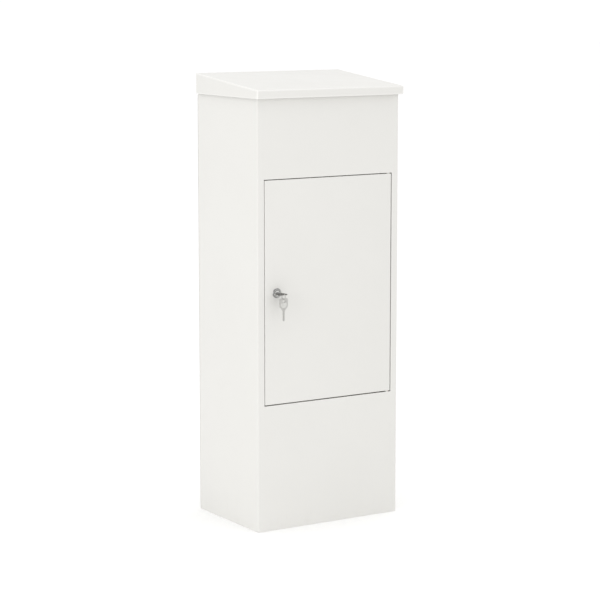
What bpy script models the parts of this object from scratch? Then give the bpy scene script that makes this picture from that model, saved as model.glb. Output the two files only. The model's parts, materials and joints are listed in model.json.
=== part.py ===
"""A free-standing parcel drop box of powder-coated sheet steel.

A bent wrapper makes the front and both sides, and a riveted panel closes the back. A sloping lid,
hinged along the back, opens the mouth. A guard plate hangs from the lid: it lies along the back while
the lid is shut, and swings up across the mouth as the lid opens, so nobody can reach the parcels below.
A flush door on two pivot pins, with a cam lock, opens the compartment.

Dimensions are in millimetres and become metres where a mesh is made. X is the width, -Y is the front,
+Z is up, and the origin is the middle of the base, on the floor.
"""

import math

import bmesh
import bpy
from mathutils import Matrix, Vector

MM = 0.001

# Driving dimensions
BODY_W = 375.0
BODY_D = 265.0
SHEET = 1.0
CLEAR = 0.3  # between two sheets that are fixed face to face
BEND = 2.0  # bend radius at the middle of the sheet
BEND_STEPS = 5
ROUND_STEPS = 28

FRONT_Y = -BODY_D / 2
BACK_Y = BODY_D / 2
SIDE_X = BODY_W / 2
WALL_TOP = 984.0
LIP_BACK_Y = BACK_Y - SHEET - CLEAR  # rear faces of the wrapper's two lips
LIP_W = 14.0

# Lid
LID_LOW = 973.0
LID_FRONT_TOP = 992.0
LID_BACK_TOP = 1020.0
LID_SIDE = 194.0
LID_FRONT_Y = -144.0
LID_BACK_Y = 129.0
LID_BEVEL = 2.4
LID_AXIS_Y = BACK_Y + 0.4
LID_AXIS_Z = LID_LOW
GUARD_Y = 120.0
GUARD_LOW = 733.0
GUARD_HALF_W = 170.0

# Door opening and door
OPEN_X = 170.5
OPEN_LOW = 287.0
OPEN_TOP = 795.0
GAP_BESIDE = 1.9
GAP_ABOVE = 2.0
GAP_BELOW = 2.3
DOOR_X = OPEN_X - GAP_BESIDE
DOOR_LOW = OPEN_LOW + GAP_BELOW
DOOR_TOP = OPEN_TOP - GAP_ABOVE
DOOR_DEPTH = 20.0
DOOR_BEVEL = 1.6
PIVOT_X = 162.7
PIVOT_Y = FRONT_Y + 5.5
PIVOT_R = 2.2

# Door frame, behind the opening's edges
REVEAL = 0.5
FRAME_FRONT = FRONT_Y + SHEET + CLEAR + SHEET / 2  # middle of the frame's front flange
STOP_Y = FRONT_Y + DOOR_DEPTH + 1.8  # middle of the flange that the door closes against
STOP_W = 13.0
STOP_LEFT = -157.5
STOP_RIGHT = 148.0

# Floor of the parcel compartment and the base
FLOOR_TOP = 280.0
BASE_SHEET = 1.2
ANCHOR_X = 140.0
ANCHOR_Y = 90.0
ANCHOR_R = 5.0

# Lock and keys
LOCK_X = -138.0
LOCK_Z = 541.0
FACE_Y = FRONT_Y - CLEAR
FACE_OUT = FACE_Y - 2.5
LOCK_BACK = -110.4
PLUG_OUT = FACE_OUT - 0.3
PLUG_R = 6.0
BARREL_R = 9.3
CAM_FRONT = -109.0
CAM_BACK = -106.5
KEY_T = 2.0
BLADE_W = 4.6
BLADE_L = 24.0
SHOULDER_W = 7.4
NECK_W = 10.0
NECK_L = 2.2
BOW_W = 20.5
BOW_L = 25.0
BOW_TAPER = 6.7  # from the neck out to the bow's full width
BOW_STRIP = 2.6
KEY_HOLE_R = 3.2
KEY_SHOULDER_Y = PLUG_OUT - CLEAR
STRIP_Y = KEY_SHOULDER_Y - NECK_L - BOW_L + BOW_STRIP / 2
RING_R = 7.0
RING_WIRE = 0.7
RING_TOP_GAP = 1.9  # from the middle of the key's strip up to the ring's inside
RING_Z = LOCK_Z + RING_TOP_GAP - (RING_R - RING_WIRE)
SPARE_Z = RING_Z - RING_R

# Hinges of the lid
HINGE_X = 115.0
HINGE_W = 60.0
KNUCKLE_R = 3.0
KNUCKLE_BORE = 1.7
HINGE_PIN_R = 1.4
LEAF_T = 1.2


def clear_scene():
    for obj in list(bpy.data.objects):
        bpy.data.objects.remove(obj)


def material(name, colour, roughness, metallic=0.0):
    made = bpy.data.materials.new(name)
    made.use_nodes = True
    shader = made.node_tree.nodes["Principled BSDF"]
    shader.inputs["Base Color"].default_value = (*colour, 1.0)
    shader.inputs["Roughness"].default_value = roughness
    shader.inputs["Metallic"].default_value = metallic
    return made


def axis_empty(name, point, parent=None):
    """An empty on a joint's axis. point is in the world, in millimetres."""
    empty = bpy.data.objects.new(name, None)
    empty.empty_display_size = 20 * MM
    bpy.context.scene.collection.objects.link(empty)
    place = Vector(point) * MM
    empty["place"] = list(place)
    empty.parent = parent
    empty.location = place - Vector(parent["place"]) if parent else place
    return empty


def add_object(name, shape, joint=None):
    """Turns a bmesh in world millimetres into an object whose origin is on its joint's axis."""
    place = Vector(joint["place"]) if joint else Vector((0, 0, 0))
    bmesh.ops.recalc_face_normals(shape, faces=shape.faces)
    shape.transform(Matrix.Translation(-place) @ Matrix.Scale(MM, 4))
    mesh = bpy.data.meshes.new(name)
    shape.to_mesh(mesh)
    shape.free()
    obj = bpy.data.objects.new(name, mesh)
    bpy.context.scene.collection.objects.link(obj)
    obj.parent = joint
    return obj


def piece(name, shape, finish, joint=None, smooth=True):
    obj = add_object(name, shape, joint)
    obj.data.materials.append(finish)
    if smooth:
        obj.data.shade_smooth()
        obj.data.set_sharp_from_angle(angle=math.radians(32))
    return obj


def combine(obj, shape, operation):
    """Cuts or joins a helper shape. The helper isn't rendered."""
    helper = add_object(f"{obj.name}_{operation.lower()}_{len(obj.modifiers)}", shape, obj.parent)
    helper.hide_render = True
    helper.display_type = "WIRE"
    boolean = obj.modifiers.new(operation.title(), "BOOLEAN")
    boolean.operation = operation
    boolean.object = helper
    boolean.solver = "EXACT"


def cut(obj, *shapes):
    for shape in shapes:
        combine(obj, shape, "DIFFERENCE")


def join(obj, *shapes):
    for shape in shapes:
        combine(obj, shape, "UNION")


# Shapes, all in world millimetres

PLANES = {
    "X": lambda u, v, along: (along, u, v),
    "Y": lambda u, v, along: (u, along, v),
    "Z": lambda u, v, along: (u, v, along),
}


def prism(outline, axis, low, high):
    """Extrudes an outline, given in the plane across axis, from low to high along it."""
    shape = bmesh.new()
    place = PLANES[axis]
    face = shape.faces.new([shape.verts.new(place(u, v, low)) for u, v in outline])
    raised = bmesh.ops.extrude_face_region(shape, geom=[face])
    moved = [item for item in raised["geom"] if isinstance(item, bmesh.types.BMVert)]
    bmesh.ops.translate(shape, verts=moved, vec=Vector(place(0, 0, high - low)))
    return shape


def block(low, high):
    (x0, y0, z0), (x1, y1, z1) = low, high
    return prism([(x0, y0), (x1, y0), (x1, y1), (x0, y1)], "Z", z0, z1)


def lathe(profile, axis, centre, steps=ROUND_STEPS, closed=False):
    """Turns a profile of (radius, distance along axis) round an axis. centre is where the axis crosses the
    plane across it."""
    shape = bmesh.new()
    place = PLANES[axis]
    rings = []
    for radius, along in profile:
        if radius == 0:
            rings.append([shape.verts.new(place(*centre, along))])
            continue
        turns = [2 * math.pi * k / steps for k in range(steps)]
        rings.append(
            [
                shape.verts.new(
                    place(centre[0] + radius * math.cos(turn), centre[1] + radius * math.sin(turn), along)
                )
                for turn in turns
            ]
        )
    pairs = list(zip(rings, rings[1:]))
    if closed:
        pairs.append((rings[-1], rings[0]))
    for first, second in pairs:
        for k in range(steps):
            corners = [
                first[k % len(first)],
                first[(k + 1) % len(first)],
                second[(k + 1) % len(second)],
                second[k % len(second)],
            ]
            shape.faces.new(list(dict.fromkeys(corners)))
    if not closed:
        for ring in (rings[0], rings[-1]):
            if len(ring) > 1:
                shape.faces.new(ring)
    return shape


def rod(radius, axis, centre, low, high, steps=ROUND_STEPS):
    return lathe([(radius, low), (radius, high)], axis, centre, steps)


def ring_solid(major, minor, centre, turns=40, steps=10):
    """A wire ring in the plane across X."""
    shape = bmesh.new()
    cx, cy, cz = centre
    rows = []
    for i in range(turns):
        turn = 2 * math.pi * i / turns
        row = []
        for j in range(steps):
            around = 2 * math.pi * j / steps
            reach = major + minor * math.cos(around)
            row.append(
                shape.verts.new(
                    (cx + minor * math.sin(around), cy + reach * math.cos(turn), cz + reach * math.sin(turn))
                )
            )
        rows.append(row)
    for i in range(turns):
        for j in range(steps):
            ahead, beside = (i + 1) % turns, (j + 1) % steps
            shape.faces.new((rows[i][j], rows[ahead][j], rows[ahead][beside], rows[i][beside]))
    return shape


def left_of(direction):
    return Vector((-direction.y, direction.x))


def bent_sheet(path, thickness=SHEET, radius=BEND):
    """Outline of a sheet bent along path, which runs through the middle of its thickness."""
    points = [Vector(p) for p in path]
    stations = [(points[0], left_of((points[1] - points[0]).normalized()))]
    for before, corner, after in zip(points, points[1:], points[2:]):
        come, go = (corner - before).normalized(), (after - corner).normalized()
        turn = math.atan2(come.x * go.y - come.y * go.x, come.dot(go))
        side = math.copysign(radius, turn)
        centre = corner - come * abs(side * math.tan(turn / 2)) + left_of(come) * side
        for k in range(BEND_STEPS + 1):
            heading = Matrix.Rotation(turn * k / BEND_STEPS, 2) @ come
            stations.append((centre - left_of(heading) * side, left_of(heading)))
    stations.append((points[-1], left_of((points[-1] - points[-2]).normalized())))
    one = [tuple(point + normal * thickness / 2) for point, normal in stations]
    other = [tuple(point - normal * thickness / 2) for point, normal in stations]
    return one + other[::-1]


def filleted(corners, steps=5):
    """Closed outline with its corners rounded. corners holds (x, y, radius)."""
    outline = []
    count = len(corners)
    for k, (x, y, radius) in enumerate(corners):
        corner = Vector((x, y))
        if radius == 0:
            outline.append((x, y))
            continue
        come = (corner - Vector(corners[k - 1][:2])).normalized()
        go = (Vector(corners[(k + 1) % count][:2]) - corner).normalized()
        turn = math.atan2(come.x * go.y - come.y * go.x, come.dot(go))
        side = math.copysign(radius, turn)
        centre = corner - come * abs(side * math.tan(turn / 2)) + left_of(come) * side
        for step in range(steps + 1):
            heading = Matrix.Rotation(turn * step / steps, 2) @ come
            outline.append(tuple(centre - left_of(heading) * side))
    return outline


def tray(low, high, open_side, front_top=None):
    """The five faces of a box that is open towards open_side. front_top lowers the front edge of its top."""
    (x0, y0, z0), (x1, y1, z1) = low, high
    top_front = z1 if front_top is None else front_top
    shape = bmesh.new()
    corners = {
        (i, j, k): shape.verts.new(((x0, x1)[i], (y0, y1)[j], (z0, top_front if j == 0 else z1)[k]))
        for i in (0, 1)
        for j in (0, 1)
        for k in (0, 1)
    }
    sides = {
        "-X": [(0, 0, 0), (0, 0, 1), (0, 1, 1), (0, 1, 0)],
        "+X": [(1, 0, 0), (1, 1, 0), (1, 1, 1), (1, 0, 1)],
        "-Y": [(0, 0, 0), (1, 0, 0), (1, 0, 1), (0, 0, 1)],
        "+Y": [(0, 1, 0), (0, 1, 1), (1, 1, 1), (1, 1, 0)],
        "-Z": [(0, 0, 0), (0, 1, 0), (1, 1, 0), (1, 0, 0)],
        "+Z": [(0, 0, 1), (1, 0, 1), (1, 1, 1), (0, 1, 1)],
    }
    for side, keys in sides.items():
        if side != open_side:
            shape.faces.new([corners[key] for key in keys])
    return shape


def pressed_tray(name, shape, finish, thickness, bevel, joint=None):
    """A tray folded from sheet, its bends rounded and its thickness laid inwards."""
    obj = piece(name, shape, finish, joint)
    bends = obj.modifiers.new("Bends", "BEVEL")
    bends.width = bevel * MM
    bends.segments = BEND_STEPS
    bends.limit_method = "ANGLE"
    bends.angle_limit = math.radians(40)
    sheet = obj.modifiers.new("Sheet", "SOLIDIFY")
    sheet.thickness = thickness * MM
    sheet.offset = -1.0
    sheet.use_even_offset = True
    return obj


def rivet(name, x, z, outer, inner, finish, joint=None):
    """A blind rivet along Y, its domed head outside the sheets and its set end inside them."""
    shank, head, tail = 1.6, 3.2, 2.4
    profile = [
        (0, outer + 1.7),
        (1.5, outer + 1.6),
        (2.5, outer + 1.25),
        (head, outer + 0.6),
        (head, outer + CLEAR),
        (shank, outer + CLEAR),
        (shank, inner - CLEAR),
        (tail, inner - CLEAR - 0.2),
        (tail, inner - CLEAR - 1.2),
        (0, inner - CLEAR - 1.5),
    ]
    return piece(name, lathe(profile, "Y", (x, z), 16), finish, joint)


def rivet_hole(x, z, low, high):
    return rod(1.9, "Y", (x, z), low, high, 16)


# The fixed housing

BACK_RIVETS = [(x, z) for x in (-180.0, 180.0) for z in (60.0, 480.0, 900.0)]
LEAF_RIVET_X = [side * HINGE_X + reach for side in (-1, 1) for reach in (-18.0, 18.0)]
LOWER_RIVET_Z = 958.0
UPPER_RIVET_Z = 986.0


def body_shell(paint):
    middle = SIDE_X - SHEET / 2
    lip_end = SIDE_X - LIP_W
    lip_y = LIP_BACK_Y - SHEET / 2
    path = [
        (-lip_end, lip_y),
        (-middle, lip_y),
        (-middle, FRONT_Y + SHEET / 2),
        (middle, FRONT_Y + SHEET / 2),
        (middle, lip_y),
        (lip_end, lip_y),
    ]
    shell = piece("body_shell", prism(bent_sheet(path), "Z", 0, WALL_TOP), paint)
    opening = block((-OPEN_X, FRONT_Y - 5, OPEN_LOW), (OPEN_X, FRONT_Y + 5, OPEN_TOP))
    lid_notch = block((-SIDE_X - 5, LID_BACK_Y - 5, LID_LOW - 0.8), (SIDE_X + 5, BACK_Y + 5, WALL_TOP + 5))
    cut(shell, opening, lid_notch)
    cut(shell, *(rivet_hole(x, z, LIP_BACK_Y - 5, BACK_Y) for x, z in BACK_RIVETS))


def back_panel(paint):
    low, high = BACK_Y - SHEET, BACK_Y
    edge = SIDE_X - CLEAR
    top = LID_AXIS_Z - KNUCKLE_R - 0.5
    corners = [(-edge, 0.3, 1.5), (edge, 0.3, 1.5), (edge, top, 1.5), (-edge, top, 1.5)]
    panel = piece("back_panel", prism(filleted(corners, 3), "Y", low, high), paint)
    cut(panel, *(rivet_hole(x, z, low - 3, high + 3) for x, z in BACK_RIVETS))
    cut(panel, *(rivet_hole(x, LOWER_RIVET_Z, low - 3, high + 3) for x in LEAF_RIVET_X))


def base_and_floor(paint):
    inner_x = SIDE_X - SHEET - CLEAR
    inner_front = FRONT_Y + SHEET + CLEAR
    inner_back = LIP_BACK_Y - SHEET - CLEAR
    base = pressed_tray(
        "base_plate",
        tray((-inner_x, inner_front, 0), (inner_x, inner_back, 25), "+Z"),
        paint,
        BASE_SHEET,
        BEND,
    )
    for x in (-ANCHOR_X, ANCHOR_X):
        cut(base, *(rod(ANCHOR_R, "Z", (x, y), -3, 5, 24) for y in (-ANCHOR_Y, ANCHOR_Y)))
    behind_sill = inner_front + SHEET + CLEAR
    pressed_tray(
        "compartment_floor",
        tray((-inner_x, behind_sill, FLOOR_TOP - 22), (inner_x, inner_back, FLOOR_TOP), "-Z"),
        paint,
        SHEET,
        BEND,
    )


def door_frame(paint):
    """Head and sill across the full width, with a jamb on each side between them."""
    reach = SIDE_X - SHEET - 1.2
    head_z = OPEN_TOP + REVEAL + SHEET / 2
    sill_z = OPEN_LOW - REVEAL - SHEET / 2
    rails = {"frame_head": (head_z, 1), "frame_sill": (sill_z, -1)}
    for name, (web, outward) in rails.items():
        path = [
            (FRAME_FRONT, web + outward * 12.5),
            (FRAME_FRONT, web),
            (STOP_Y, web),
            (STOP_Y, web - outward * STOP_W),
        ]
        rail = piece(name, prism(bent_sheet(path, radius=1.3), "X", -reach, reach), paint)
        near, far = sorted((web - outward * 0.7, web - outward * (STOP_W + 5)))
        past = reach + 5
        cut(
            rail,
            block((-past, FRONT_Y, near), (STOP_LEFT, STOP_Y + 5, far)),
            block((STOP_RIGHT, FRONT_Y, near), (past, STOP_Y + 5, far)),
            rod(PIVOT_R + CLEAR, "Z", (PIVOT_X, PIVOT_Y), web - 3, web + 3),
        )
    jamb_x = OPEN_X + REVEAL + SHEET / 2
    low, high = sill_z + SHEET / 2 + CLEAR, head_z - SHEET / 2 - CLEAR
    strike = [
        (-reach + 1, FRAME_FRONT),
        (-jamb_x, FRAME_FRONT),
        (-jamb_x, STOP_Y),
        (-jamb_x + STOP_W, STOP_Y),
    ]
    hinge_side = [(reach - 1, FRAME_FRONT), (jamb_x, FRAME_FRONT), (jamb_x, STOP_Y + 2)]
    piece("frame_jamb_strike", prism(bent_sheet(strike, radius=1.3), "Z", low, high), paint)
    piece("frame_jamb_hinge", prism(bent_sheet(hinge_side, radius=1.3), "Z", low, high), paint)


def mouth_collar(paint, rubber):
    """Angles inside the top of the walls. The guard's ears stop under the side ones."""
    wall_x = SIDE_X - SHEET - CLEAR - SHEET / 2
    wall_y = FRONT_Y + SHEET + CLEAR + SHEET / 2
    ledge_z = WALL_TOP - SHEET / 2
    inner_x, inner_y = 174.0, -119.0
    for name, side in (("collar_left", -1), ("collar_right", 1)):
        path = [(side * wall_x, WALL_TOP - 15), (side * wall_x, ledge_z), (side * inner_x, ledge_z)]
        piece(name, prism(bent_sheet(path, radius=1.3), "Y", FRONT_Y + 4.0, LID_BACK_Y - 5), paint)
    path = [(wall_y, WALL_TOP - 15), (wall_y, ledge_z), (inner_y, ledge_z)]
    piece("collar_front", prism(bent_sheet(path, radius=1.3), "X", -inner_x + CLEAR, inner_x - CLEAR), paint)
    for name, x in (("lid_buffer_left", -150.0), ("lid_buffer_right", 150.0)):
        low = WALL_TOP + CLEAR
        profile = [(0, low), (5.5, low), (5.5, low + 1.5), (5.0, low + 6.5), (3.8, low + 7.4), (0, low + 7.6)]
        piece(name, lathe(profile, "Z", (x, -125.0), 20), rubber)


# The door, on its two pivot pins


def door_pivots(steel, nylon, joint):
    """Pins stay in the frame. Flanged bushes sit in the door's top and bottom flanges."""
    axis = (PIVOT_X, PIVOT_Y)
    head_r = 2.9
    head_web = OPEN_TOP + REVEAL + SHEET + CLEAR
    sill_web = OPEN_LOW - REVEAL - SHEET - CLEAR
    pins = {"pivot_pin_top": (head_web, 1), "pivot_pin_bottom": (sill_web, -1)}
    for name, (web, outward) in pins.items():
        profile = [
            (0, web + outward * 2.2),
            (head_r - 0.4, web + outward * 2.2),
            (head_r, web + outward * 1.8),
            (head_r, web),
            (PIVOT_R, web),
            (PIVOT_R, web - outward * 19.5),
            (PIVOT_R - 0.6, web - outward * 20.3),
            (0, web - outward * 20.3),
        ]
        piece(name, lathe(profile, "Z", axis, 24), steel)
    bore, barrel, flange = PIVOT_R + CLEAR, 3.3, 4.2
    bushes = {
        "pivot_bush_top": (DOOR_TOP, DOOR_TOP + CLEAR + 1.4, 1),
        "pivot_bush_bottom": (DOOR_LOW, OPEN_LOW - REVEAL + 0.4, -1),
    }
    for name, (door_face, flange_end, outward) in bushes.items():
        seat = door_face + outward * CLEAR
        inside = door_face - outward * 3.5
        profile = [
            (bore, flange_end),
            (flange, flange_end),
            (flange, seat),
            (barrel, seat),
            (barrel, inside),
            (bore, inside),
        ]
        piece(name, lathe(profile, "Z", axis, 24, closed=True), nylon, joint)


def door(paint, joint):
    panel = pressed_tray(
        "door_panel",
        tray((-DOOR_X, FRONT_Y, DOOR_LOW), (DOOR_X, FRONT_Y + DOOR_DEPTH, DOOR_TOP), "+Y"),
        paint,
        SHEET,
        DOOR_BEVEL,
        joint,
    )
    cut(panel, rod(BARREL_R + CLEAR, "Y", (LOCK_X, LOCK_Z), FRONT_Y - 5, FRONT_Y + 5, 32))
    for face in (DOOR_LOW, DOOR_TOP):
        cut(panel, rod(3.6, "Z", (PIVOT_X, PIVOT_Y), face - 3, face + 3, 24))
    back = FRONT_Y + SHEET + CLEAR + SHEET / 2
    half_hat = [(34, back), (21, back), (15, back + 11)]
    for name, x in (("door_stiffener_left", -62.0), ("door_stiffener_right", 70.0)):
        path = [(x - reach, y) for reach, y in half_hat] + [(x + reach, y) for reach, y in half_hat[::-1]]
        piece(name, prism(bent_sheet(path, radius=1.3), "Z", DOOR_LOW + 12, DOOR_TOP - 12), paint, joint)


# The lock, its keys and their ring


def hexagon(across_flats, centre, axis, low, high):
    return lathe([(across_flats / math.sqrt(3), low), (across_flats / math.sqrt(3), high)], axis, centre, 6)


def across_lock(half_x, half_z, low, high):
    """A bar along the lock's axis."""
    return block((LOCK_X - half_x, low, LOCK_Z - half_z), (LOCK_X + half_x, high, LOCK_Z + half_z))


def lock(chrome, steel, door_joint, lock_joint):
    axis = (LOCK_X, LOCK_Z)
    bore = PLUG_R + CLEAR
    housing = [
        (bore, FACE_OUT),
        (8.6, FACE_OUT),
        (10.7, FACE_OUT + 1.7),
        (11.0, FACE_OUT + 2.1),
        (11.0, FACE_Y),
        (BARREL_R, FACE_Y),
        (BARREL_R, LOCK_BACK),
        (bore, LOCK_BACK),
    ]
    piece("lock_housing", lathe(housing, "Y", axis, 36, closed=True), chrome, door_joint)
    nut_front = FRONT_Y + SHEET + CLEAR
    nut = piece("lock_nut", hexagon(25.0, axis, "Y", nut_front, nut_front + 4.0), steel, door_joint)
    cut(nut, rod(BARREL_R + CLEAR, "Y", axis, nut_front - 3, nut_front + 7, 32))

    plug_back = CAM_FRONT - 0.4
    square = 3.5
    cylinder = [
        (0, PLUG_OUT),
        (PLUG_R - 0.4, PLUG_OUT),
        (PLUG_R, PLUG_OUT + 0.4),
        (PLUG_R, plug_back),
        (0, plug_back),
    ]
    plug = piece("lock_plug", lathe(cylinder, "Y", axis, 28), chrome, lock_joint)
    join(
        plug,
        across_lock(square, square, plug_back - 1, CAM_BACK + CLEAR),
        rod(3.0, "Y", axis, CAM_BACK - 1, CAM_BACK + 4.5, 20),
    )
    slot_end = KEY_SHOULDER_Y + BLADE_L + CLEAR
    cut(plug, across_lock(BLADE_W / 2 + 0.4, KEY_T / 2 + CLEAR, PLUG_OUT - 3, slot_end))

    half, reach, tail = 8.0, 38.0, 9.0
    outline = filleted(
        [
            (LOCK_X - half, LOCK_Z - tail, 7.0),
            (LOCK_X + half, LOCK_Z - tail, 7.0),
            (LOCK_X + half, LOCK_Z + reach, 4.0),
            (LOCK_X - half, LOCK_Z + reach, 4.0),
        ]
    )
    cam = piece("lock_cam", prism(outline, "Y", CAM_FRONT, CAM_BACK), steel, lock_joint)
    hole = square + CLEAR
    cut(cam, across_lock(hole, hole, CAM_FRONT - 3, CAM_BACK + 3))
    nut_low = CAM_BACK + CLEAR + 0.3
    cam_nut = piece("cam_nut", hexagon(10.0, axis, "Y", nut_low, nut_low + 3.0), steel, lock_joint)
    cut(cam_nut, rod(3.0 + CLEAR, "Y", axis, nut_low - 3, nut_low + 6, 20))


def key_outline():
    """A key seen flat. Its shoulder is at 0, the blade runs to + and the bow to -, as (across, along)."""
    cuts = [(4.5, 0.9), (8.0, 0.5), (11.5, 1.1), (15.0, 0.7), (18.5, 1.0)]  # along the blade, and depth
    half = BLADE_W / 2
    side = [(half, 0.0, 0)]
    for along, depth in cuts:
        for reach in (-1.2, -0.3, 0.3, 1.2):
            side.append((half if abs(reach) > 1 else half - depth, along + reach, 0))
    side += [(half, BLADE_L - 3.0, 0), (half - 1.8, BLADE_L, 0)]
    bow = [
        (SHOULDER_W / 2, 0.0, 0.5),
        (NECK_W / 2, -NECK_L, 1.5),
        (BOW_W / 2, -NECK_L - BOW_TAPER, 2.5),
        (BOW_W / 2, -NECK_L - BOW_L, 3.6),
    ]
    right = bow[::-1] + side
    left = [(-across, along, radius) for across, along, radius in right[::-1]]
    return filleted(right + left, 4)


def keys(nickel, key_joint, ring_joint, spare_joint):
    outline = key_outline()
    hole_along = -NECK_L - BOW_L + BOW_STRIP + KEY_HOLE_R

    flat = [(LOCK_X + across, KEY_SHOULDER_Y + along) for across, along in outline]
    key = piece("key", prism(flat, "Z", LOCK_Z - KEY_T / 2, LOCK_Z + KEY_T / 2), nickel, key_joint)
    cut(key, rod(KEY_HOLE_R, "Z", (LOCK_X, KEY_SHOULDER_Y + hole_along), LOCK_Z - 5, LOCK_Z + 5, 24))

    ring = ring_solid(RING_R, RING_WIRE, (LOCK_X, STRIP_Y, RING_Z))
    piece("key_ring", ring, nickel, ring_joint)

    hole_z = SPARE_Z + RING_WIRE + 0.25 - KEY_HOLE_R
    upright = [(LOCK_X + across, hole_z + hole_along - along) for across, along in outline]
    flat_plate = prism(upright, "Y", STRIP_Y - KEY_T / 2, STRIP_Y + KEY_T / 2)
    spare = piece("spare_key", flat_plate, nickel, spare_joint)
    cut(spare, rod(KEY_HOLE_R, "Y", (LOCK_X, hole_z), STRIP_Y - 5, STRIP_Y + 5, 24))


# The lid with its guard, on two hinges


def lid_inside(y):
    """Height of the lid's underside at y, below its sloping top."""
    slope = (LID_BACK_TOP - LID_FRONT_TOP) / (LID_BACK_Y - LID_FRONT_Y)
    return LID_FRONT_TOP + slope * (y - LID_FRONT_Y) - SHEET * math.hypot(1, slope)


def lid(paint, joint):
    shell = pressed_tray(
        "lid_shell",
        tray(
            (-LID_SIDE, LID_FRONT_Y, LID_LOW),
            (LID_SIDE, LID_BACK_Y, LID_BACK_TOP),
            "-Z",
            front_top=LID_FRONT_TOP,
        ),
        paint,
        SHEET,
        LID_BEVEL,
        joint,
    )
    cut(shell, *(rivet_hole(x, UPPER_RIVET_Z, LID_BACK_Y - 5, LID_BACK_Y + 5) for x in LEAF_RIVET_X))

    rail_y = LID_FRONT_Y + SHEET + CLEAR + SHEET / 2
    grip = [(rail_y, LID_FRONT_TOP - 5.5), (rail_y, LID_LOW + 0.8), (FRONT_Y - 2.5, LID_LOW + 0.8)]
    rail_half = LID_SIDE - SHEET - 1.2
    piece("lid_grip_rail", prism(bent_sheet(grip, radius=1.2), "X", -rail_half, rail_half), paint, joint)


def guard(paint, joint):
    """The plate that bars the mouth while the lid is up, with ears that stop under the collar."""
    drop = CLEAR + SHEET / 2 + 0.1
    path = [
        (GUARD_Y - 28, lid_inside(GUARD_Y - 28) - drop),
        (GUARD_Y, lid_inside(GUARD_Y) - drop),
        (GUARD_Y, GUARD_LOW),
        (GUARD_Y - 9, GUARD_LOW),
    ]
    plate = piece("lid_guard", prism(bent_sheet(path), "X", -GUARD_HALF_W, GUARD_HALF_W), paint, joint)
    half = SHEET / 2
    for side in (-1, 1):
        edge = side * GUARD_HALF_W
        low_x, high_x = sorted((edge - side * SHEET, edge))
        ear_low, ear_high = sorted((edge - side * 3, side * 181.0))
        join(
            plate,
            block((low_x, GUARD_Y - 11, GUARD_LOW + 6), (high_x, GUARD_Y + half, LID_LOW - 20)),
            block((ear_low, GUARD_Y - half, GUARD_LOW + 6), (ear_high, GUARD_Y + half, GUARD_LOW + 24)),
        )


def lid_hinge(side_name, middle_x, steel, joint):
    """Two leaves and a pin. The body's leaf has the outer knuckles, the lid's leaf the middle one."""
    axis = (LID_AXIS_Y, LID_AXIS_Z)
    low, high = middle_x - HINGE_W / 2, middle_x + HINGE_W / 2
    inner_low, inner_high = middle_x - 10, middle_x + 10
    gap = 0.3
    leaf_back = BACK_Y - SHEET - CLEAR
    leaf_front = leaf_back - LEAF_T
    bore = (KNUCKLE_BORE, "X", axis, low - 5, high + 5, 20)

    lower = piece(
        f"lid_hinge_{side_name}_body_leaf",
        block((low, leaf_front, LID_LOW - 23), (high, leaf_back, LID_LOW - 3.6)),
        steel,
    )
    for start, end in ((low, inner_low - gap), (inner_high + gap, high)):
        join(
            lower,
            block((start, leaf_front, LID_LOW - 5), (end, leaf_back - 0.01, LID_LOW)),
            rod(KNUCKLE_R, "X", axis, start, end, 24),
        )
    cut(lower, rod(*bore))
    plate_low, plate_high = LID_BACK_Y + CLEAR, LID_BACK_Y + CLEAR + LEAF_T
    upper = piece(
        f"lid_hinge_{side_name}_lid_leaf",
        block((low, plate_low, LID_LOW + 3.6), (high, plate_high, LID_LOW + 21)),
        steel,
        joint,
    )
    join(
        upper,
        block((inner_low + gap, plate_low, LID_LOW + 0.4), (inner_high - gap, plate_high, LID_LOW + 5)),
        rod(KNUCKLE_R, "X", axis, inner_low + gap, inner_high - gap, 24),
    )
    cut(upper, rod(*bore))
    pin = [
        (0, low - 1.8),
        (2.0, low - 1.8),
        (2.6, low - 1.3),
        (2.6, low - 0.3),
        (HINGE_PIN_R, low - 0.3),
        (HINGE_PIN_R, high + 0.3),
        (2.6, high + 0.3),
        (2.6, high + 1.3),
        (2.0, high + 1.8),
        (0, high + 1.8),
    ]
    piece(f"lid_hinge_{side_name}_pin", lathe(pin, "X", axis, 18), steel)
    for place, reach in (("outer", -18.0), ("inner", 18.0)):
        x = middle_x + math.copysign(1, middle_x) * -reach
        cut(lower, rivet_hole(x, LOWER_RIVET_Z, leaf_front - 3, leaf_back + 0.2))
        cut(upper, rivet_hole(x, UPPER_RIVET_Z, plate_low - 0.2, plate_high + 3))
        tag = f"{side_name}_{place}"
        rivet(f"rivet_body_leaf_{tag}", x, LOWER_RIVET_Z, BACK_Y, leaf_front, steel)
        rivet(f"rivet_lid_leaf_{tag}", x, UPPER_RIVET_Z, plate_high, LID_BACK_Y - SHEET, steel, joint)


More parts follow.
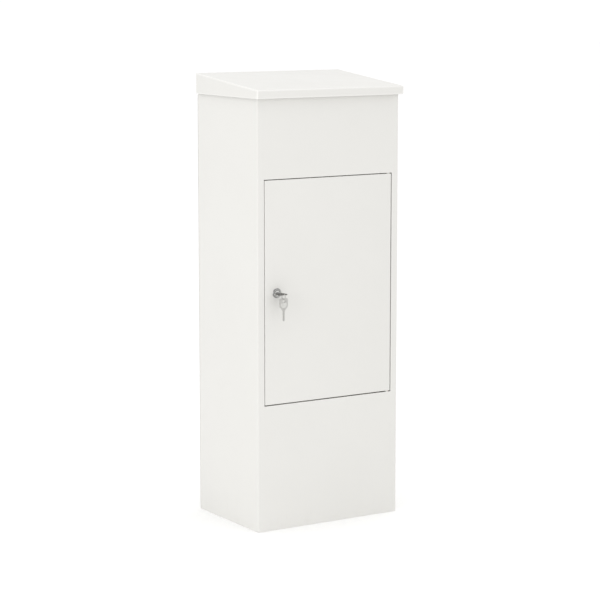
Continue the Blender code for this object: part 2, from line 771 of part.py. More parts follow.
def main():
    clear_scene()
    paint = material("white_powder_coat", (0.80, 0.79, 0.76), 0.45)
    steel = material("zinc_plated_steel", (0.62, 0.62, 0.60), 0.35, 1.0)
    chrome = material("lock_chrome", (0.70, 0.69, 0.66), 0.18, 1.0)
    nickel = material("key_nickel", (0.66, 0.65, 0.61), 0.28, 1.0)
    nylon = material("white_nylon", (0.82, 0.82, 0.79), 0.5)
    rubber = material("black_rubber", (0.04, 0.04, 0.04), 0.8)

    lid_axis = axis_empty("lid_axis", (0, LID_AXIS_Y, LID_AXIS_Z))
    door_axis = axis_empty("door_axis", (PIVOT_X, PIVOT_Y, (DOOR_LOW + DOOR_TOP) / 2))
    lock_axis = axis_empty("lock_axis", (LOCK_X, FRONT_Y, LOCK_Z), door_axis)
    key_axis = axis_empty("key_axis", (LOCK_X, KEY_SHOULDER_Y, LOCK_Z), lock_axis)
    ring_axis = axis_empty("ring_axis", (LOCK_X, STRIP_Y, LOCK_Z), key_axis)
    spare_axis = axis_empty("spare_axis", (LOCK_X, STRIP_Y, SPARE_Z), ring_axis)

    body_shell(paint)
    back_panel(paint)
    base_and_floor(paint)
    door_frame(paint)
    mouth_collar(paint, rubber)
    for x, z in BACK_RIVETS:
        side = "left" if x < 0 else "right"
        rivet(f"rivet_back_{side}_{z:.0f}", x, z, BACK_Y, LIP_BACK_Y - SHEET, steel)

    door(paint, door_axis)
    door_pivots(steel, nylon, door_axis)
    lock(chrome, steel, door_axis, lock_axis)
    keys(nickel, key_axis, ring_axis, spare_axis)

    lid(paint, lid_axis)
    guard(paint, lid_axis)
    lid_hinge("left", -HINGE_X, steel, lid_axis)
    lid_hinge("right", HINGE_X, steel, lid_axis)


main()
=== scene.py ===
"""Looks of a free-standing parcel drop box: its finishes, the small pieces seen up close, light and camera.

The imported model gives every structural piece. This script gives each of them its material, and stands
finer pieces in for the lock, the keys, their ring and the rivets. Sizes are in metres, in the model's own
frame: X is the width, -Y is the front, +Z is up, and the origin is the middle of the base, on the floor.
"""

import json
import math

import bmesh
import bpy
from mathutils import Matrix, Vector

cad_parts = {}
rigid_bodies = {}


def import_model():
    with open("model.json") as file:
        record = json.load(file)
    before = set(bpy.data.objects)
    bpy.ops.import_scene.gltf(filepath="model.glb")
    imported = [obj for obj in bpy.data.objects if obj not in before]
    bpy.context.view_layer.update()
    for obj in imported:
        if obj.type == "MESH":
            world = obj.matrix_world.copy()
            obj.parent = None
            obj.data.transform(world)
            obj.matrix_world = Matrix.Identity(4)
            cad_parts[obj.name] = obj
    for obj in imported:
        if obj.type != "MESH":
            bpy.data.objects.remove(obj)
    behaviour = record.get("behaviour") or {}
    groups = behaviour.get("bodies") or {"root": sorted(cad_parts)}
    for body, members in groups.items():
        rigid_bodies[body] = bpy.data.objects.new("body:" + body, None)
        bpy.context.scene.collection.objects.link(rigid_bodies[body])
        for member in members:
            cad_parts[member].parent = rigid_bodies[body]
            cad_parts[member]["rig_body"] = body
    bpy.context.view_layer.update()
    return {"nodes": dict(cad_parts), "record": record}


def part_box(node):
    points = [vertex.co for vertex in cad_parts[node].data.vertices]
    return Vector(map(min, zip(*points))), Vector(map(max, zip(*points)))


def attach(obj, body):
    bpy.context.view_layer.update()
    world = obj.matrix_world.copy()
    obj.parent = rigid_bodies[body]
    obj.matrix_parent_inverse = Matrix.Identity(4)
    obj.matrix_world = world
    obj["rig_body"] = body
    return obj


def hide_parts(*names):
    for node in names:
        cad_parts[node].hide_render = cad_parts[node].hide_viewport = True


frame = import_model()
NODES = frame["nodes"]
SLOT_OF = {part["node"]: part["material_slot"] for part in frame["record"]["subparts"]}

MM = 0.001
SHARP = math.radians(38)  # an edge that turns by more than this isn't shaded smooth
COAT_ROUNDING = 0.2 * MM
METAL_ROUNDING = 0.12 * MM

# Colours, linear
COAT_WHITE = (0.728, 0.720, 0.693)
COAT_SHADE = (0.706, 0.698, 0.671)
# painted highlight: the paler colour along bends and cut edges of the powder coat
COAT_PAINTED_HIGHLIGHT = (0.90, 0.894, 0.872)
SCUFF = (0.50, 0.47, 0.42)
ZINC = (0.56, 0.57, 0.58)
ZINC_DULL = (0.42, 0.43, 0.43)
CHROME = (0.62, 0.62, 0.605)
# painted dark reflection: the darker colour of the lock's sloping rim
CHROME_RIM_PAINTED_REFLECTION = (0.23, 0.23, 0.225)
NICKEL = (0.53, 0.525, 0.505)
NICKEL_DULL = (0.42, 0.415, 0.395)
NICKEL_MATT = (0.66, 0.655, 0.63)
NICKEL_MATT_DULL = (0.55, 0.545, 0.52)
# painted shade and dark reflection: the key in the lock, in a darkened copy of the key nickel
KEY_PAINTED_SHADE = (0.15, 0.147, 0.138)
KEY_PAINTED_SHADE_DULL = (0.09, 0.087, 0.080)
# painted shade: the near-black inside the pit of each rivet's head
PIT = (0.03, 0.03, 0.03)
NYLON = (0.83, 0.83, 0.79)
RUBBER = (0.025, 0.025, 0.026)
FLOOR = (0.95, 0.95, 0.945)

# The lock
LOCK_LOW, LOCK_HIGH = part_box("lock_housing")
LOCK_X = (LOCK_LOW.x + LOCK_HIGH.x) / 2
LOCK_Z = (LOCK_LOW.z + LOCK_HIGH.z) / 2
FACE_R = (LOCK_HIGH.x - LOCK_LOW.x) / 2
BARREL_R = 9.3 * MM
PLUG_R = 6.0 * MM
BORE_R = PLUG_R + 0.3 * MM
FLANGE_T = 2.5 * MM
# RIM_INNER_R and RIM_BLEND place where the rim's painted dark reflection begins and blends in
RIM_INNER_R = 8.4 * MM
RIM_R = 10.75 * MM
RIM_BLEND = 0.4 * MM
TURNING_PITCH = 0.35 * MM
THREAD_PITCH = 1.0 * MM
THREAD_DEPTH = 0.45 * MM
CAM_SHAFT_R = 3.0 * MM
CAM_SHAFT_L = 8.0 * MM

# The keys and the ring
KEY_LOW, KEY_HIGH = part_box("key")
KEY_T = KEY_HIGH.z - KEY_LOW.z
BLADE_W = 4.6 * MM
BLADE_L = 24.0 * MM
TIP_L = 3.0 * MM
TIP_CUT = 1.8 * MM
NOTCHES = ((4.5, 0.9), (8.0, 0.5), (11.5, 1.1), (15.0, 0.7), (18.5, 1.0))  # along the blade, and depth, in mm
NOTCH_HALF_MOUTH = 1.2  # in mm, as is the next
NOTCH_HALF_FLOOR = 0.3
GROOVE_W = 1.0 * MM
GROOVE_DEPTH = 0.55 * MM
GROOVE_ASIDE = 0.4 * MM
GROOVE_RUN_OUT = 2.5 * MM
SHOULDER_W = 7.4 * MM
NECK_W = 10.0 * MM
NECK_L = 2.2 * MM
BOW_W = KEY_HIGH.x - KEY_LOW.x
BOW_L = KEY_HIGH.y - KEY_LOW.y - BLADE_L - NECK_L
BOW_TAPER = 6.7 * MM
BOW_STRIP = 2.6 * MM
KEY_HOLE_R = 3.2 * MM
PANEL_DEPTH = 0.25 * MM
PANEL_INSET = 2.6 * MM
PANEL_BELOW_HOLE = 1.6 * MM
PANEL_CORNER_R = 1.5 * MM
KEYWAY_SPARE_W = 0.4 * MM
KEYWAY_SPARE_T = 0.3 * MM
KEYWAY_SPARE_L = 0.8 * MM
PAST = 2.0 * MM  # how far a cutter reaches past what it cuts
PAST_PLUG = 3.0 * MM  # the same, for the one that cuts the keyway
KEY_HOLE_REACH = 5.0 * MM  # half the length of the cutter for the hole in a bow
RING_LOW, RING_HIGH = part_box("key_ring")
RING_R = 7.0 * MM
RING_WIRE = 0.45 * MM
WIRE_PITCH = 1.06 * RING_WIRE  # half the distance between the ring's two turns
SPARE_LOW, SPARE_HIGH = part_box("spare_key")

# Rivets, and spot welds on the door's stiffeners
RIVET_HEAD_T = 1.4 * MM
RIVET_SHANK_R = 1.6 * MM
RIVET_PIT_R = 0.8 * MM
STIFFENER_T = 1.0 * MM
WELDS_PER_FLANGE = 9
WELD_FROM_EDGE = 6.5 * MM
WELD_FROM_END = 22.0 * MM
WELD_RISE = ((0, 0.03), (1.2, 0.05), (1.7, 0.17), (2.2, 0.20), (2.7, 0.0), (2.7, -0.2), (0, -0.2))  # in mm

# Light: name, place, point it faces, diameter, power in watts
LIGHTS = (
    ("light_left", (-2.9, -1.5, 0.95), (0, 0, 0.5), 1.0, 14.0),
    ("light_top", (0.4, -0.3, 3.2), (0, 0, 0.5), 2.0, 8.5),
)
DOME_LIGHT = 1.04
FLOOR_SIZE = 60.0
FLOOR_LIFT = 0.05  # a faint glow, so that the floor is as pale as the dome

# Camera
CAMERA_AT = Vector((-2.5535, -4.0796, 1.2285))
CAMERA_TURN = 32.105
CAMERA_TILT = 8.637
CAMERA_LENS = 126.29


# Node graphs


class Graph:
    """A material's nodes, made and joined by short calls."""

    def __init__(self, name):
        self.material = bpy.data.materials.new(name)
        self.material.use_nodes = True
        self.tree = self.material.node_tree
        self.shader = self.tree.nodes["Principled BSDF"]
        self.place = self.add("ShaderNodeTexCoord").outputs["Object"]

    def add(self, kind, **settings):
        node = self.tree.nodes.new(kind)
        for name, value in settings.items():
            setattr(node, name, value)
        return node

    def link(self, source, socket):
        self.tree.links.new(source, socket)

    def fill(self, socket, value):
        """Joins value to the socket if it is an output, and sets it there if it is a number or a colour."""
        if isinstance(value, bpy.types.NodeSocket):
            self.link(value, socket)
        elif isinstance(value, tuple) and socket.type == "RGBA":
            socket.default_value = (*value, 1.0)
        else:
            socket.default_value = value

    def stretched(self, scale, place=None):
        """Coordinates scaled by a different number along each axis."""
        node = self.add("ShaderNodeMapping")
        self.link(place or self.place, node.inputs["Vector"])
        node.inputs["Scale"].default_value = scale
        return node.outputs["Vector"]

    def noise(self, scale, detail=3.0, roughness=0.5, place=None):
        node = self.add("ShaderNodeTexNoise")
        self.link(place or self.place, node.inputs["Vector"])
        node.inputs["Scale"].default_value = scale
        node.inputs["Detail"].default_value = detail
        node.inputs["Roughness"].default_value = roughness
        return node.outputs["Fac"]

    def cells(self, scale):
        node = self.add("ShaderNodeTexVoronoi")
        self.link(self.place, node.inputs["Vector"])
        node.inputs["Scale"].default_value = scale
        return node.outputs["Color"]

    def spread(self, value, low, high, out_low=0.0, out_high=1.0):
        """Maps value from low..high to out_low..out_high, and holds it there."""
        node = self.add("ShaderNodeMapRange")
        for socket, number in zip(node.inputs[:5], (value, low, high, out_low, out_high)):
            self.fill(socket, number)
        return node.outputs["Result"]

    def maths(self, operation, first, second=0.0):
        node = self.add("ShaderNodeMath", operation=operation)
        self.fill(node.inputs[0], first)
        self.fill(node.inputs[1], second)
        return node.outputs["Value"]

    def mix(self, amount, first, second):
        """Colour first where amount is 0, second where it is 1."""
        node = self.add("ShaderNodeMix", data_type="RGBA")
        self.fill(node.inputs["Factor"], amount)
        self.fill(node.inputs[6], first)
        self.fill(node.inputs[7], second)
        return node.outputs[2]

    def part_of(self, axis):
        """One coordinate of the surface point."""
        node = self.add("ShaderNodeSeparateXYZ")
        self.link(self.place, node.inputs["Vector"])
        return node.outputs[axis]

    def edges(self, radius, low=0.01, high=0.25):
        """1 on bends and cut edges, 0 on flat sheet. low and high are turns of the surface, as 1 - cosine."""
        rounded = self.add("ShaderNodeBevel", samples=4)
        rounded.inputs["Radius"].default_value = radius
        flat = self.add("ShaderNodeNewGeometry")
        turn = self.add("ShaderNodeVectorMath", operation="DOT_PRODUCT")
        self.link(rounded.outputs["Normal"], turn.inputs[0])
        self.link(flat.outputs["Normal"], turn.inputs[1])
        away = self.maths("SUBTRACT", 1.0, turn.outputs["Value"])
        return self.spread(away, low, high)

    def bump(self, *layers):
        """Each layer is (height, depth in metres, strength)."""
        normal = None
        for height, depth, strength in layers:
            node = self.add("ShaderNodeBump")
            self.link(height, node.inputs["Height"])
            node.inputs["Distance"].default_value = depth
            node.inputs["Strength"].default_value = strength
            if normal:
                self.link(normal, node.inputs["Normal"])
            normal = node.outputs["Normal"]
        self.link(normal, self.shader.inputs["Normal"])

    def finish(self, colour, roughness, **fixed):
        """fixed holds inputs that are the same all over, with _ for each space in their names."""
        self.fill(self.shader.inputs["Base Color"], colour)
        self.fill(self.shader.inputs["Roughness"], roughness)
        for name, value in fixed.items():
            self.shader.inputs[name.replace("_", " ")].default_value = value
        return self.material


# Finishes


def powder_coat(name, reach, full_turn, share):
    """Satin powder coat with orange peel and faint scuffs close to the floor.

    It is paler on bends and cut edges, a painted highlight: reach is how far from them, full_turn the turn of
    the sheet (as 1 - cosine) that is fully paler, and share how much of the painted highlight colour it
    takes.
    """
    g = Graph(name)
    cloud = g.spread(g.noise(4.0, 4.0, 0.55), 0.35, 0.65)
    grain = g.spread(g.noise(2600.0, 2.0), 0.3, 0.7)
    colour = g.mix(g.maths("MULTIPLY", cloud, 0.55), COAT_WHITE, COAT_SHADE)
    colour = g.mix(g.maths("MULTIPLY", grain, 0.12), colour, COAT_SHADE)
    # painted highlight: bends and cut edges take a paler colour
    edge = g.edges(reach, full_turn / 30, full_turn)
    colour = g.mix(g.maths("MULTIPLY", edge, share), colour, COAT_PAINTED_HIGHLIGHT)
    low_down = g.spread(g.part_of("Z"), 0.0, 0.09, 1.0, 0.0)
    streaks = g.spread(g.noise(60.0, 5.0, 0.65, g.stretched((1.0, 1.0, 0.35))), 0.55, 0.72)
    colour = g.mix(g.maths("MULTIPLY", g.maths("MULTIPLY", low_down, streaks), 0.10), colour, SCUFF)
    satin = g.spread(g.noise(22.0, 3.0), 0.3, 0.7, 0.40, 0.50)
    roughness = g.maths("SUBTRACT", satin, g.maths("MULTIPLY", edge, 0.10))
    g.bump(
        (g.noise(5.0, 1.0), 0.5 * MM, 0.25),
        (g.noise(520.0, 2.0, 0.45), 0.05 * MM, 0.35),
    )
    return g.finish(colour, roughness, Specular_IOR_Level=0.5, Coat_Weight=0.12, Coat_Roughness=0.22)


def zinc_plate():
    """Bright zinc on pressed steel, patchy, with a fine grain and dull edges."""
    g = Graph("zinc_plate")
    patches = g.spread(g.noise(90.0, 5.0, 0.6), 0.35, 0.7)
    colour = g.mix(patches, ZINC, ZINC_DULL)
    colour = g.mix(g.maths("MULTIPLY", g.edges(0.4 * MM), 0.5), colour, ZINC_DULL)
    flakes = g.spread(g.cells(700.0), 0.0, 1.0, -0.05, 0.05)
    roughness = g.maths("ADD", g.spread(g.noise(240.0, 4.0), 0.3, 0.7, 0.30, 0.46), flakes)
    g.bump((g.noise(1800.0, 3.0), 0.02 * MM, 0.3))
    return g.finish(colour, roughness, Metallic=1.0)


def lock_chrome():
    """Chromed die casting: turned rings round the lock's axis, under a fine haze of scratches. Its sloping
    rim is darker, a painted dark reflection.
    """
    g = Graph("lock_chrome")
    centred = g.add("ShaderNodeMapping")
    g.link(g.place, centred.inputs["Vector"])
    centred.inputs["Location"].default_value = (-LOCK_X, 0.0, -LOCK_Z)
    flat = g.stretched((1.0, 0.0, 1.0), centred.outputs["Vector"])
    length = g.add("ShaderNodeVectorMath", operation="LENGTH")
    g.link(flat, length.inputs[0])
    from_axis = length.outputs["Value"]
    rings = g.maths("SINE", g.maths("MULTIPLY", from_axis, 2 * math.pi / TURNING_PITCH))
    haze = g.spread(g.noise(900.0, 5.0, 0.6, g.stretched((1.0, 1.0, 3.0))), 0.4, 0.7)
    colour = g.mix(g.maths("MULTIPLY", haze, 0.4), CHROME, tuple(0.8 * c for c in CHROME))
    # painted dark reflection on the sloping rim, which is also rougher; past RIM_R it goes back to plain
    # chrome
    on_rim = g.spread(from_axis, RIM_INNER_R, RIM_INNER_R + RIM_BLEND)
    colour = g.mix(on_rim, colour, CHROME_RIM_PAINTED_REFLECTION)
    colour = g.mix(g.spread(from_axis, RIM_R, FACE_R), colour, CHROME)
    roughness = g.maths("ADD", g.spread(haze, 0.0, 1.0, 0.14, 0.26), g.maths("MULTIPLY", on_rim, 0.10))
    g.bump((rings, 0.008 * MM, 0.25), (haze, 0.01 * MM, 0.2))
    return g.finish(colour, roughness, Metallic=1.0)


def key_metal(name, bright, dull):
    """Nickel on brass, rubbed in streaks, with dull stains, and darker along its edges as a painted dark
    reflection.
    """
    g = Graph(name)
    rubbed = g.spread(g.noise(420.0, 5.0, 0.6, g.stretched((3.0, 0.4, 0.4))), 0.35, 0.7)
    stains = g.spread(g.noise(160.0, 3.0), 0.45, 0.75)
    colour = g.mix(g.maths("MULTIPLY", stains, 0.7), bright, dull)
    # darker along the edges: painted dark reflection on the bevels
    colour = g.mix(g.maths("MULTIPLY", g.edges(0.3 * MM), 0.5), colour, tuple(0.75 * c for c in bright))
    roughness = g.spread(rubbed, 0.0, 1.0, 0.24, 0.40)
    g.bump((rubbed, 0.012 * MM, 0.35))
    return g.finish(colour, roughness, Metallic=1.0)


def nylon():
    """White nylon, slightly uneven in tone and gloss."""
    g = Graph("bush_nylon")
    tone = g.spread(g.noise(300.0, 3.0), 0.3, 0.7)
    colour = g.mix(tone, NYLON, tuple(0.95 * c for c in NYLON))
    g.bump((g.noise(1200.0, 2.0), 0.02 * MM, 0.3))
    roughness = g.spread(tone, 0.0, 1.0, 0.42, 0.55)
    return g.finish(colour, roughness, Subsurface_Weight=0.08, Subsurface_Scale=2.0 * MM)


def rubber():
    """Black rubber with a grey bloom."""
    g = Graph("buffer_rubber")
    bloom = g.spread(g.noise(220.0, 4.0, 0.6), 0.4, 0.7)
    colour = g.mix(g.maths("MULTIPLY", bloom, 0.35), RUBBER, tuple(3.0 * c for c in RUBBER))
    g.bump((g.noise(1500.0, 3.0), 0.04 * MM, 0.4))
    return g.finish(colour, g.spread(bloom, 0.0, 1.0, 0.62, 0.82))


def pit_black():
    """The end of a mandrel, sunk in a rivet's head, in near-black: painted shade in the pit."""
    g = Graph("rivet_pit")
    colour = g.mix(g.noise(900.0), PIT, tuple(2.0 * c for c in PIT))
    return g.finish(colour, 0.7)


FINISHES = {
    "white_powder_coat": powder_coat("powder_coat", reach=3.0 * MM, full_turn=0.15, share=0.4),
    "zinc_plated_steel": zinc_plate(),
    "lock_chrome": lock_chrome(),
    "key_nickel": key_metal("key_nickel", NICKEL, NICKEL_DULL),
    "white_nylon": nylon(),
    "black_rubber": rubber(),
}
# the lid's coat: a wider, stronger painted highlight along its edges
LID_COAT_PAINTED_HIGHLIGHT = powder_coat("lid_powder_coat_painted_highlight", reach=4.5 * MM, full_turn=0.03, share=0.65)
MATT_NICKEL = key_metal("key_nickel_matt", NICKEL_MATT, NICKEL_MATT_DULL)
# a darkened copy of the key nickel: painted shade and dark reflection for the key in the lock
PAINTED_SHADE_NICKEL = key_metal("key_nickel_painted_shade", KEY_PAINTED_SHADE, KEY_PAINTED_SHADE_DULL)


# Pieces


def piece(name, shape, node, finish=None, stands_for=True):
    """A piece that rides on a node's body, in its slot's finish. It stands for the node, or adds to it."""
    bmesh.ops.recalc_face_normals(shape, faces=shape.faces)
    mesh = bpy.data.meshes.new(name)
    shape.to_mesh(mesh)
    shape.free()
    mesh.shade_smooth()
    mesh.set_sharp_from_angle(angle=SHARP)
    obj = bpy.data.objects.new(name, mesh)
    bpy.context.scene.collection.objects.link(obj)
    slot = SLOT_OF[node]
    mesh.materials.append(finish or FINISHES[slot])
    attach(obj, NODES[node]["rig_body"])
    if stands_for:
        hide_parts(node)
    return obj


def lathe(profile, axis_at, steps=72, shape=None):
    """Turns a profile of (radius, y) round an axis along Y through axis_at, an (x, z) point.

    A profile that starts off the axis is closed, end to start. The result is added to shape, if there is one.
    """
    shape = shape or bmesh.new()
    rings = []
    for radius, y in profile:
        if radius == 0:
            rings.append([shape.verts.new((axis_at[0], y, axis_at[1]))])
            continue
        ring = []
        for k in range(steps):
            turn = 2 * math.pi * k / steps
            x = axis_at[0] + radius * math.cos(turn)
            z = axis_at[1] + radius * math.sin(turn)
            ring.append(shape.verts.new((x, y, z)))
        rings.append(ring)
    pairs = list(zip(rings, rings[1:]))
    if len(rings[0]) > 1:
        pairs.append((rings[-1], rings[0]))
    for first, second in pairs:
        for k in range(steps):
            corners = [
                first[k % len(first)],
                first[(k + 1) % len(first)],
                second[(k + 1) % len(second)],
                second[k % len(second)],
            ]
            shape.faces.new(list(dict.fromkeys(corners)))
    return shape


def slab(outline, start, rise):
    """A flat outline in X and Y at height start, raised by rise along Z."""
    shape = bmesh.new()
    face = shape.faces.new([shape.verts.new((p.x, p.y, start)) for p in outline])
    raised = bmesh.ops.extrude_face_region(shape, geom=[face])
    moved = [item for item in raised["geom"] if isinstance(item, bmesh.types.BMVert)]
    bmesh.ops.translate(shape, verts=moved, vec=(0, 0, rise))
    return shape


def cut(obj, shape):
    """Cuts a shape out of obj, and applies the cut."""
    mesh = bpy.data.meshes.new("cutter")
    bmesh.ops.recalc_face_normals(shape, faces=shape.faces)
    shape.to_mesh(mesh)
    shape.free()
    cutter = bpy.data.objects.new("cutter", mesh)
    bpy.context.scene.collection.objects.link(cutter)
    boolean = obj.modifiers.new("Cut", "BOOLEAN")
    boolean.operation = "DIFFERENCE"
    boolean.object = cutter
    boolean.solver = "EXACT"
    apply_modifiers(obj)
    bpy.data.objects.remove(cutter)


def apply_modifiers(obj):
    """Gives obj the mesh that its modifiers make, and removes them."""
    bpy.context.view_layer.update()
    result = bpy.data.meshes.new_from_object(obj.evaluated_get(bpy.context.evaluated_depsgraph_get()))
    obj.modifiers.clear()
    obj.data = result


def block(low, high):
    """A box between two corners."""
    shape = bmesh.new()
    bmesh.ops.create_cube(shape, size=1.0)
    middle = (Vector(low) + Vector(high)) / 2
    size = Vector(high) - Vector(low)
    shape.transform(Matrix.Translation(middle) @ Matrix.Diagonal((*size, 1.0)))
    return shape


def soften(obj, width, segments=3):
    """Rounds every sharp edge by width."""
    bevel = obj.modifiers.new("Soften", "BEVEL")
    bevel.width = width
    bevel.segments = segments
    bevel.limit_method = "ANGLE"
    bevel.angle_limit = math.radians(35)
    bevel.harden_normals = True


def lock():
    """The housing has a sloping rim, a grooved face and a threaded barrel. The plug has a keyway."""
    axis = (LOCK_X, LOCK_Z)
    front, back = LOCK_LOW.y, LOCK_HIGH.y
    seat = front + FLANGE_T
    face = [
        (BORE_R, front + 0.5 * MM),
        (BORE_R + 0.4 * MM, front + 0.15 * MM),
        (BORE_R + 0.8 * MM, front),
        (7.5 * MM, front),
        (7.65 * MM, front + 0.2 * MM),
        (7.85 * MM, front + 0.2 * MM),
        (8.0 * MM, front),
        (8.5 * MM, front),
        (8.8 * MM, front + 0.15 * MM),
        (9.5 * MM, front + 0.6 * MM),
        (RIM_R, front + 2.0 * MM),
        (FACE_R, front + 2.3 * MM),
        (FACE_R, seat),
        (BARREL_R, seat),
    ]
    turns = int((back - seat - THREAD_PITCH) / THREAD_PITCH)
    thread = []
    for k in range(turns):
        crest = seat + (k + 0.5) * THREAD_PITCH
        thread += [(BARREL_R, crest), (BARREL_R - THREAD_DEPTH, crest + THREAD_PITCH / 2)]
    rear = [(BARREL_R - 0.2 * MM, back - 0.3 * MM), (BARREL_R - 0.5 * MM, back), (BORE_R, back)]
    piece("lock_housing_face", lathe(face + thread + rear, axis, 96), "lock_housing")

    low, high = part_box("lock_plug")
    shoulder = high.y - CAM_SHAFT_L
    profile = [
        (0, low.y),
        (PLUG_R - 0.7 * MM, low.y),
        (PLUG_R - 0.3 * MM, low.y + 0.15 * MM),
        (PLUG_R, low.y + 0.5 * MM),
        (PLUG_R, shoulder),
        (CAM_SHAFT_R, shoulder + 0.1 * MM),
        (CAM_SHAFT_R, high.y - 0.3 * MM),
        (CAM_SHAFT_R - 0.3 * MM, high.y),
        (0, high.y),
    ]
    plug = piece("lock_plug_face", lathe(profile, axis), "lock_plug")
    half_w = BLADE_W / 2 + KEYWAY_SPARE_W
    half_t = KEY_T / 2 + KEYWAY_SPARE_T
    keyway_end = low.y + BLADE_L + KEYWAY_SPARE_L
    cut(
        plug,
        block(
            (LOCK_X - half_w, low.y - PAST_PLUG, LOCK_Z - half_t),
            (LOCK_X + half_w, keyway_end, LOCK_Z + half_t),
        ),
    )
    soften(plug, 0.15 * MM)


def rounded(corners, steps=5):
    """Closed outline with its corners rounded. corners holds (x, y, radius)."""
    outline = []
    count = len(corners)
    for k, (x, y, radius) in enumerate(corners):
        corner = Vector((x, y))
        if radius == 0:
            outline.append(corner)
            continue
        come = (corner - Vector(corners[k - 1][:2])).normalized()
        go = (Vector(corners[(k + 1) % count][:2]) - corner).normalized()
        turn = math.atan2(come.x * go.y - come.y * go.x, come.dot(go))
        side = math.copysign(radius, turn)
        square = Vector((-come.y, come.x))
        centre = corner - come * abs(side * math.tan(turn / 2)) + square * side
        for step in range(steps + 1):
            heading = Matrix.Rotation(turn * step / steps, 2) @ come
            outline.append(centre - Vector((-heading.y, heading.x)) * side)
    return outline


def key_outline():
    """A key seen flat, as (across, along): the shoulder is at 0, the blade runs to + and the bow to -."""
    half = BLADE_W / 2
    side = [(half, 0.0, 0)]
    for along, depth in NOTCHES:
        side += [
            (half, (along - NOTCH_HALF_MOUTH) * MM, 0),
            (half - depth * MM, (along - NOTCH_HALF_FLOOR) * MM, 0),
            (half - depth * MM, (along + NOTCH_HALF_FLOOR) * MM, 0),
            (half, (along + NOTCH_HALF_MOUTH) * MM, 0),
        ]
    side += [(half, BLADE_L - TIP_L, 0), (half - TIP_CUT, BLADE_L, 0)]
    bow = [
        (SHOULDER_W / 2, 0.0, 0.5 * MM),
        (NECK_W / 2, -NECK_L, 1.5 * MM),
        (BOW_W / 2, -NECK_L - BOW_TAPER, 2.5 * MM),
        (BOW_W / 2, -NECK_L - BOW_L, 3.6 * MM),
    ]
    right = bow[::-1] + side
    left = [(-across, along, radius) for across, along, radius in right[::-1]]
    return rounded(right + left)


def panel_outline(start):
    """The sunk panel of a key's bow. It begins at start and narrows towards the neck."""
    wide = BOW_W / 2 - PANEL_INSET
    narrow = NECK_W / 2 - 1.6 * MM
    taper_from = -NECK_L - BOW_TAPER - 0.8 * MM
    taper_to = -NECK_L - 3.4 * MM
    return rounded(
        [
            (-wide, start, PANEL_CORNER_R),
            (wide, start, PANEL_CORNER_R),
            (wide, taper_from, PANEL_CORNER_R),
            (narrow, taper_to, 1.0 * MM),
            (-narrow, taper_to, 1.0 * MM),
            (-wide, taper_from, PANEL_CORNER_R),
        ]
    )


def key_shape(name, node, place, finish, panel_finish):
    """A key with softened edges, a sunk panel on each side of its bow and a milled groove down its blade."""
    half = KEY_T / 2
    key = piece(name, slab(key_outline(), -half, KEY_T), node, finish)
    hole_along = -NECK_L - BOW_L + BOW_STRIP + KEY_HOLE_R
    pin = [
        (0, -KEY_HOLE_REACH),
        (KEY_HOLE_R, -KEY_HOLE_REACH),
        (KEY_HOLE_R, KEY_HOLE_REACH),
        (0, KEY_HOLE_REACH),
    ]
    hole = lathe(pin, (0.0, 0.0), 48)
    hole.transform(Matrix.Translation((0, hole_along, 0)) @ Matrix.Rotation(math.pi / 2, 4, "X"))
    cut(key, hole)
    panel = panel_outline(hole_along + KEY_HOLE_R + PANEL_BELOW_HOLE)
    for side in (-1, 1):
        cut(key, slab(panel, side * (half - PANEL_DEPTH), side * PAST))
        across = side * GROOVE_ASIDE
        low, high = sorted((side * (half - GROOVE_DEPTH), side * (half + PAST)))
        groove = block(
            (across - GROOVE_W / 2, -GROOVE_RUN_OUT, low),
            (across + GROOVE_W / 2, BLADE_L + PAST, high),
        )
        cut(key, groove)
    key.data.materials.append(panel_finish)
    for face in key.data.polygons:
        sunk = abs(abs(face.center.z) - (half - PANEL_DEPTH)) < 0.01 * MM
        if sunk and abs(face.normal.z) > 0.9 and face.center.y < -NECK_L:
            face.material_index = 1
    key.data.transform(place)
    key.data.shade_smooth()
    key.data.set_sharp_from_angle(angle=SHARP)
    soften(key, 0.14 * MM, 2)


def keys():
    """The key in the lock lies flat, darkened by painted shade and dark reflection. The spare hangs with its
    blade down.
    """
    in_lock = Matrix.Translation((LOCK_X, KEY_HIGH.y - BLADE_L, LOCK_Z))
    key_shape("key_in_lock", "key", in_lock, PAINTED_SHADE_NICKEL, PAINTED_SHADE_NICKEL)
    middle_y = (SPARE_LOW.y + SPARE_HIGH.y) / 2
    shoulder_z = SPARE_HIGH.z - BOW_L - NECK_L
    hanging = Matrix.Translation((LOCK_X, middle_y, shoulder_z)) @ Matrix.Rotation(-math.pi / 2, 4, "X")
    key_shape("key_spare", "spare_key", hanging, FINISHES["key_nickel"], MATT_NICKEL)


def split_ring():
    """Two turns of round wire lying side by side, with one crossing between them."""
    centre = (RING_LOW + RING_HIGH) / 2
    steps, sides = 160, 12
    start = math.radians(215)
    crossing_from, crossing_length = 0.44, 0.12  # as shares of the wire's length
    shape = bmesh.new()
    rows = []
    for i in range(steps + 1):
        share = i / steps
        angle = start + 2 * math.pi * 2 * share
        crossing = min(1.0, max(0.0, (share - crossing_from) / crossing_length))
        shift = WIRE_PITCH * (2 * (3 * crossing**2 - 2 * crossing**3) - 1)
        row = []
        for j in range(sides):
            around = 2 * math.pi * j / sides
            reach = RING_R + RING_WIRE * math.cos(around)
            x = centre.x + shift + RING_WIRE * math.sin(around)
            y = centre.y + reach * math.cos(angle)
            z = centre.z + reach * math.sin(angle)
            row.append(shape.verts.new((x, y, z)))
        rows.append(row)
    for first, second in zip(rows, rows[1:]):
        for j in range(sides):
            shape.faces.new((first[j], second[j], second[(j + 1) % sides], first[(j + 1) % sides]))
    shape.faces.new(rows[0])
    shape.faces.new(rows[-1][::-1])
    soften(piece("split_ring", shape, "key_ring"), 0.12 * MM, 2)


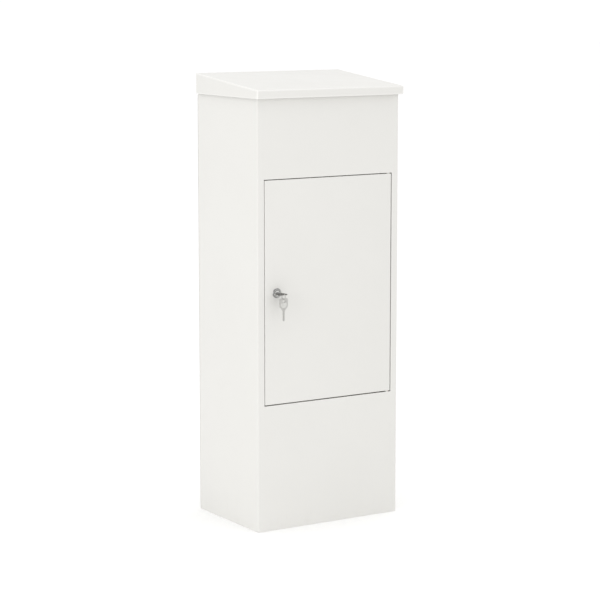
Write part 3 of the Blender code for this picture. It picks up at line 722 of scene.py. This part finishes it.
def rivets():
    """Blind rivets: a domed rim with the sunk end of the mandrel in its middle."""
    pit = pit_black()
    for node in sorted(name for name in NODES if name.startswith("rivet_")):
        low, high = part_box(node)
        axis = ((low.x + high.x) / 2, (low.z + high.z) / 2)
        head_r = (high.x - low.x) / 2
        seat = high.y - RIVET_HEAD_T
        profile = [
            (0, high.y - 0.9 * MM),
            (0.75 * MM, high.y - 0.8 * MM),
            (0.85 * MM, high.y - 0.25 * MM),
            (1.15 * MM, high.y),
            (1.7 * MM, high.y - 0.08 * MM),
            (2.4 * MM, high.y - 0.4 * MM),
            (head_r - 0.15 * MM, high.y - 0.95 * MM),
            (head_r, high.y - 1.15 * MM),
            (head_r, seat),
            (RIVET_SHANK_R, seat),
            (RIVET_SHANK_R, low.y + 1.7 * MM),
            (2.3 * MM, low.y + 1.4 * MM),
            (2.4 * MM, low.y + 0.6 * MM),
            (1.4 * MM, low.y),
            (0, low.y),
        ]
        rivet = piece(f"{node}_detail", lathe(profile, axis, 32), node)
        rivet.data.materials.append(pit)
        # the pit's faces take near-black: painted shade in the hole over the mandrel's end
        for face in rivet.data.polygons:
            from_axis = math.hypot(face.center.x - axis[0], face.center.z - axis[1])
            if from_axis < RIVET_PIT_R and face.center.y > seat:
                face.material_index = 1


def weld_spots():
    """Spot welds that hold the stiffeners to the door: shallow dimples, each inside a raised ring."""
    for node in ("door_stiffener_left", "door_stiffener_right"):
        low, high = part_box(node)
        surface = low.y + STIFFENER_T
        profile = [(radius * MM, surface + height * MM) for radius, height in WELD_RISE]
        first, last = low.z + WELD_FROM_END, high.z - WELD_FROM_END
        spots = bmesh.new()
        for x in (low.x + WELD_FROM_EDGE, high.x - WELD_FROM_EDGE):
            for k in range(WELDS_PER_FLANGE):
                z = first + (last - first) * k / (WELDS_PER_FLANGE - 1)
                lathe(profile, (x, z), 24, spots)
        piece(f"{node}_welds", spots, node, stands_for=False)


def carried_over():
    """Every node of the model gets its finish, smooth bends and softened cut edges."""
    for name, node in NODES.items():
        coated = SLOT_OF[name] == "white_powder_coat"
        node.data.materials.clear()
        # the lid takes the coat with the stronger painted highlight on its edges
        node.data.materials.append(LID_COAT_PAINTED_HIGHLIGHT if name == "lid_shell" else FINISHES[SLOT_OF[name]])
        normals = node.data.attributes.get("custom_normal")
        if normals:
            node.data.attributes.remove(normals)
        node.data.shade_smooth()
        weld = node.modifiers.new("Weld", "WELD")
        weld.merge_threshold = 0.01 * MM
        soften(node, COAT_ROUNDING if coated else METAL_ROUNDING, 2)


# Surroundings


def studio():
    """A pale floor that runs out of sight, an even bright dome, and two soft lights."""
    bpy.ops.mesh.primitive_plane_add(size=FLOOR_SIZE, location=(0, 0, -0.2 * MM))
    floor = bpy.context.active_object
    floor.name = "studio_floor"
    g = Graph("studio_floor")
    tone = g.spread(g.noise(3.0, 3.0), 0.3, 0.7)
    colour = g.mix(tone, FLOOR, tuple(0.985 * c for c in FLOOR))
    g.finish(colour, 0.9, Emission_Color=(1.0, 1.0, 1.0, 1.0), Emission_Strength=FLOOR_LIFT)
    floor.data.materials.append(g.material)

    world = bpy.data.worlds.new("studio")
    bpy.context.scene.world = world
    world.use_nodes = True
    background = world.node_tree.nodes["Background"]
    background.inputs["Color"].default_value = (1.0, 1.0, 1.0, 1.0)
    background.inputs["Strength"].default_value = DOME_LIGHT

    for name, place, aim, size, power in LIGHTS:
        lamp = bpy.data.lights.new(name, "AREA")
        lamp.shape = "DISK"
        lamp.size = size
        lamp.energy = power
        obj = bpy.data.objects.new(name, lamp)
        bpy.context.scene.collection.objects.link(obj)
        obj.location = place
        obj.rotation_euler = (Vector(aim) - Vector(place)).to_track_quat("-Z", "Y").to_euler()
        obj.visible_camera = False


def camera():
    """Stands in front of the box, to its left, and looks slightly down."""
    data = bpy.data.cameras.new("camera")
    data.lens = CAMERA_LENS
    data.sensor_width = 36.0
    data.clip_end = 200.0
    obj = bpy.data.objects.new("camera", data)
    bpy.context.scene.collection.objects.link(obj)
    obj.location = CAMERA_AT
    obj.rotation_euler = (math.radians(90.0 - CAMERA_TILT), 0.0, -math.radians(CAMERA_TURN))
    bpy.context.scene.camera = obj
    bpy.context.scene.view_settings.view_transform = "Standard"


def main():
    carried_over()
    lock()
    keys()
    split_ring()
    rivets()
    weld_spots()
    studio()
    camera()


main()
